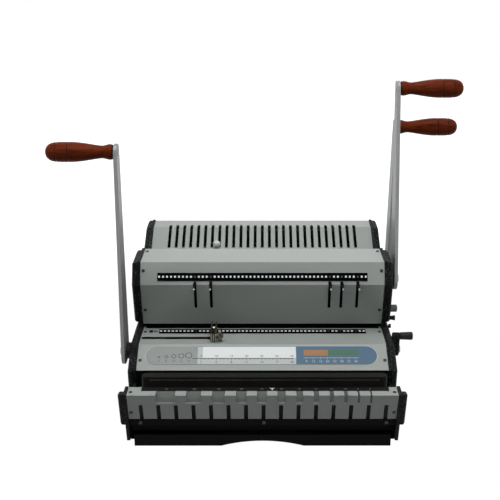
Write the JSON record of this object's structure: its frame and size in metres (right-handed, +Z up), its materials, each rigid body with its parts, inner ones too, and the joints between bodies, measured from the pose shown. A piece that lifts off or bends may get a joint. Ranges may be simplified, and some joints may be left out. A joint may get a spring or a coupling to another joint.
{
  "type": "desk binding machine",
  "caption": "Desk punch-and-bind machine with a front wire closer and graded gauge, two punching units and long hand levers with turned grips.",
  "frame": {"origin": "under the middle of the machine's box, on the surface that it stands on", "axes": "+X to the operator's right, +Y from the operator to the back, +Z up"},
  "size_m": [0.6622, 0.4748, 0.5091],
  "materials": {
    "panel_paint": "semi-gloss light grey paint",
    "black_texture": "textured black powder coat",
    "black_satin": "satin black paint",
    "satin_steel": "satin",
    "machined_steel": "ground",
    "dark_steel": "blackened",
    "turned_wood": "lacquered, red-brown",
    "zinc_plate": "yellow zinc plating",
    "white_plastic": "gloss",
    "black_plastic": "matt",
    "label_film": "printed film",
    "foot_rubber": "matt"
  },
  "bodies": {
    "frame": {"base_tray": "black_satin", "front_crossbar": "black_satin", "left_frame_plate": "black_satin", "right_frame_plate": "black_satin", "left_front_cap": "black_texture", "right_front_cap": "black_texture", "left_lower_cover": "black_texture", "right_lower_cover": "black_texture", "left_upper_cover": "black_texture", "right_upper_cover": "black_texture", "left_rear_cover": "black_texture", "right_rear_cover": "black_texture", "gauge_panel": "panel_paint", "gauge_back_plate": "panel_paint", "closer_bed": "dark_steel", "lower_deck_panel": "panel_paint", "lower_pin_strip": "black_plastic", "label_plate": "label_film", "upper_housing_panel": "panel_paint", "upper_pin_strip": "black_plastic", "rear_deck_panel": "panel_paint", "rear_housing_panel": "panel_paint", "back_cover": "black_satin", "upper_die_set": "machined_steel", "rear_die_set": "machined_steel", "front_left_foot": "foot_rubber", "front_right_foot": "foot_rubber", "back_left_foot": "foot_rubber", "back_right_foot": "foot_rubber"},
    "closer_lever": {"closer_lever_bar": "satin_steel", "closer_lever_grip": "turned_wood", "closer_lever_bolt": "satin_steel", "closer_lever_shaft": "machined_steel"},
    "punch_lever": {"punch_lever_bar": "satin_steel", "punch_lever_grip": "turned_wood", "punch_lever_bolt": "satin_steel", "punch_lever_shaft": "machined_steel"},
    "rear_lever": {"rear_lever_bar": "satin_steel", "rear_lever_grip": "turned_wood", "rear_lever_bolt": "satin_steel", "rear_lever_shaft": "machined_steel"},
    "closer_bar": {"closer_bar": "black_satin"},
    "upper_punch_beam": {"upper_punch_beam": "machined_steel"},
    "rear_punch_beam": {"rear_punch_beam": "machined_steel"},
    "pin_pull_1": {"pin_pull_1": "satin_steel"},
    "pin_pull_2": {"pin_pull_2": "satin_steel"},
    "pin_pull_3": {"pin_pull_3": "satin_steel"},
    "pin_pull_4": {"pin_pull_4": "satin_steel"},
    "pin_pull_5": {"pin_pull_5": "satin_steel"},
    "crank": {"crank_shaft": "machined_steel", "crank_arm": "black_texture", "crank_handle": "black_plastic"},
    "margin_knob": {"margin_knob": "dark_steel"},
    "paper_stop": {"paper_stop": "dark_steel"},
    "depth_lock_knob": {"depth_lock_knob": "black_plastic"},
    "lower_edge_guide": {"lower_edge_guide": "zinc_plate"},
    "lower_guide_knob": {"lower_guide_knob": "zinc_plate"},
    "rear_edge_guide": {"rear_edge_guide": "zinc_plate"},
    "rear_guide_knob": {"rear_guide_knob": "white_plastic"},
    "chip_tray": {"chip_tray": "black_satin"}
  },
  "joints": [
    {"name": "closer_lever_turn", "type": "hinge", "parent": "frame", "child": "closer_lever", "pos_m": [-0.00515, -0.06144, 0.0925], "axis": [1, 0, 0], "range_deg": [0, 75], "stiffness_Nm_per_rad": 1.2, "springref_deg": -28.65},
    {"name": "closer_bar_swing", "type": "hinge", "parent": "frame", "child": "closer_bar", "pos_m": [-0.00515, -0.06144, 0.0925], "axis": [1, 0, 0], "range_deg": [0, 10]},
    {"name": "punch_lever_turn", "type": "hinge", "parent": "frame", "child": "punch_lever", "pos_m": [-0.00515, 0.03456, 0.184], "axis": [1, 0, 0], "range_deg": [0, 70], "stiffness_Nm_per_rad": 1.2, "springref_deg": -22.92},
    {"name": "upper_punch_stroke", "type": "slide", "parent": "frame", "child": "upper_punch_beam", "axis": [0, 0, -1], "range_m": [0, 0.014]},
    {"name": "rear_lever_turn", "type": "hinge", "parent": "frame", "child": "rear_lever", "pos_m": [-0.00515, 0.21056, 0.105], "axis": [1, 0, 0], "range_deg": [0, 60], "stiffness_Nm_per_rad": 1.2, "springref_deg": -28.65},
    {"name": "rear_punch_stroke", "type": "slide", "parent": "frame", "child": "rear_punch_beam", "axis": [0, 0, -1], "range_m": [0, 0.01]},
    {"name": "pin_pull_1_slide", "type": "slide", "parent": "upper_punch_beam", "child": "pin_pull_1", "axis": [0, -1, 0], "range_m": [0, 0.008]},
    {"name": "pin_pull_2_slide", "type": "slide", "parent": "upper_punch_beam", "child": "pin_pull_2", "axis": [0, -1, 0], "range_m": [0, 0.008]},
    {"name": "pin_pull_3_slide", "type": "slide", "parent": "upper_punch_beam", "child": "pin_pull_3", "axis": [0, -1, 0], "range_m": [0, 0.008]},
    {"name": "pin_pull_4_slide", "type": "slide", "parent": "upper_punch_beam", "child": "pin_pull_4", "axis": [0, -1, 0], "range_m": [0, 0.008]},
    {"name": "pin_pull_5_slide", "type": "slide", "parent": "upper_punch_beam", "child": "pin_pull_5", "axis": [0, -1, 0], "range_m": [0, 0.008]},
    {"name": "crank_turn", "type": "hinge", "parent": "frame", "child": "crank", "pos_m": [0.20335, -0.03144, 0.083], "axis": [1, 0, 0], "continuous": true},
    {"name": "margin_knob_turn", "type": "hinge", "parent": "frame", "child": "margin_knob", "pos_m": [0.20335, -0.00744, 0.145], "axis": [1, 0, 0], "range_deg": [-180, 180]},
    {"name": "paper_stop_slide", "type": "slide", "parent": "frame", "child": "paper_stop", "axis": [0, 1, 0], "range_m": [-0.0031, 0.0031]},
    {"name": "depth_lock_turn", "type": "hinge", "parent": "frame", "child": "depth_lock_knob", "pos_m": [0.20335, 0.00056, 0.1255], "axis": [1, 0, 0], "range_deg": [0, 90]},
    {"name": "lower_guide_slide", "type": "slide", "parent": "frame", "child": "lower_edge_guide", "axis": [1, 0, 0], "range_m": [-0.105, 0]},
    {"name": "lower_guide_knob_turn", "type": "hinge", "parent": "lower_edge_guide", "child": "lower_guide_knob", "pos_m": [-0.07865, -0.06744, 0.11976], "axis": [1, 0, 0], "range_deg": [0, 180]},
    {"name": "rear_guide_slide", "type": "slide", "parent": "frame", "child": "rear_edge_guide", "axis": [1, 0, 0], "range_m": [-0.105, 0]},
    {"name": "rear_guide_knob_turn", "type": "hinge", "parent": "rear_edge_guide", "child": "rear_guide_knob", "pos_m": [-0.08315, 0.08706, 0.2248], "axis": [0, 0, 1], "range_deg": [0, 180]},
    {"name": "chip_tray_slide", "type": "slide", "parent": "frame", "child": "chip_tray", "axis": [0, -1, 0], "range_m": [0, 0.3]}
  ],
  "couplings": [
    {"joint": "closer_bar_swing", "follows": "closer_lever_turn", "ratio": 0.13},
    {"joint": "upper_punch_stroke", "follows": "punch_lever_turn", "m_per_rad": 0.0114},
    {"joint": "rear_punch_stroke", "follows": "rear_lever_turn", "m_per_rad": 0.0095},
    {"joint": "margin_knob_turn", "follows": "paper_stop_slide", "rad_per_m": 1000}
  ]
}
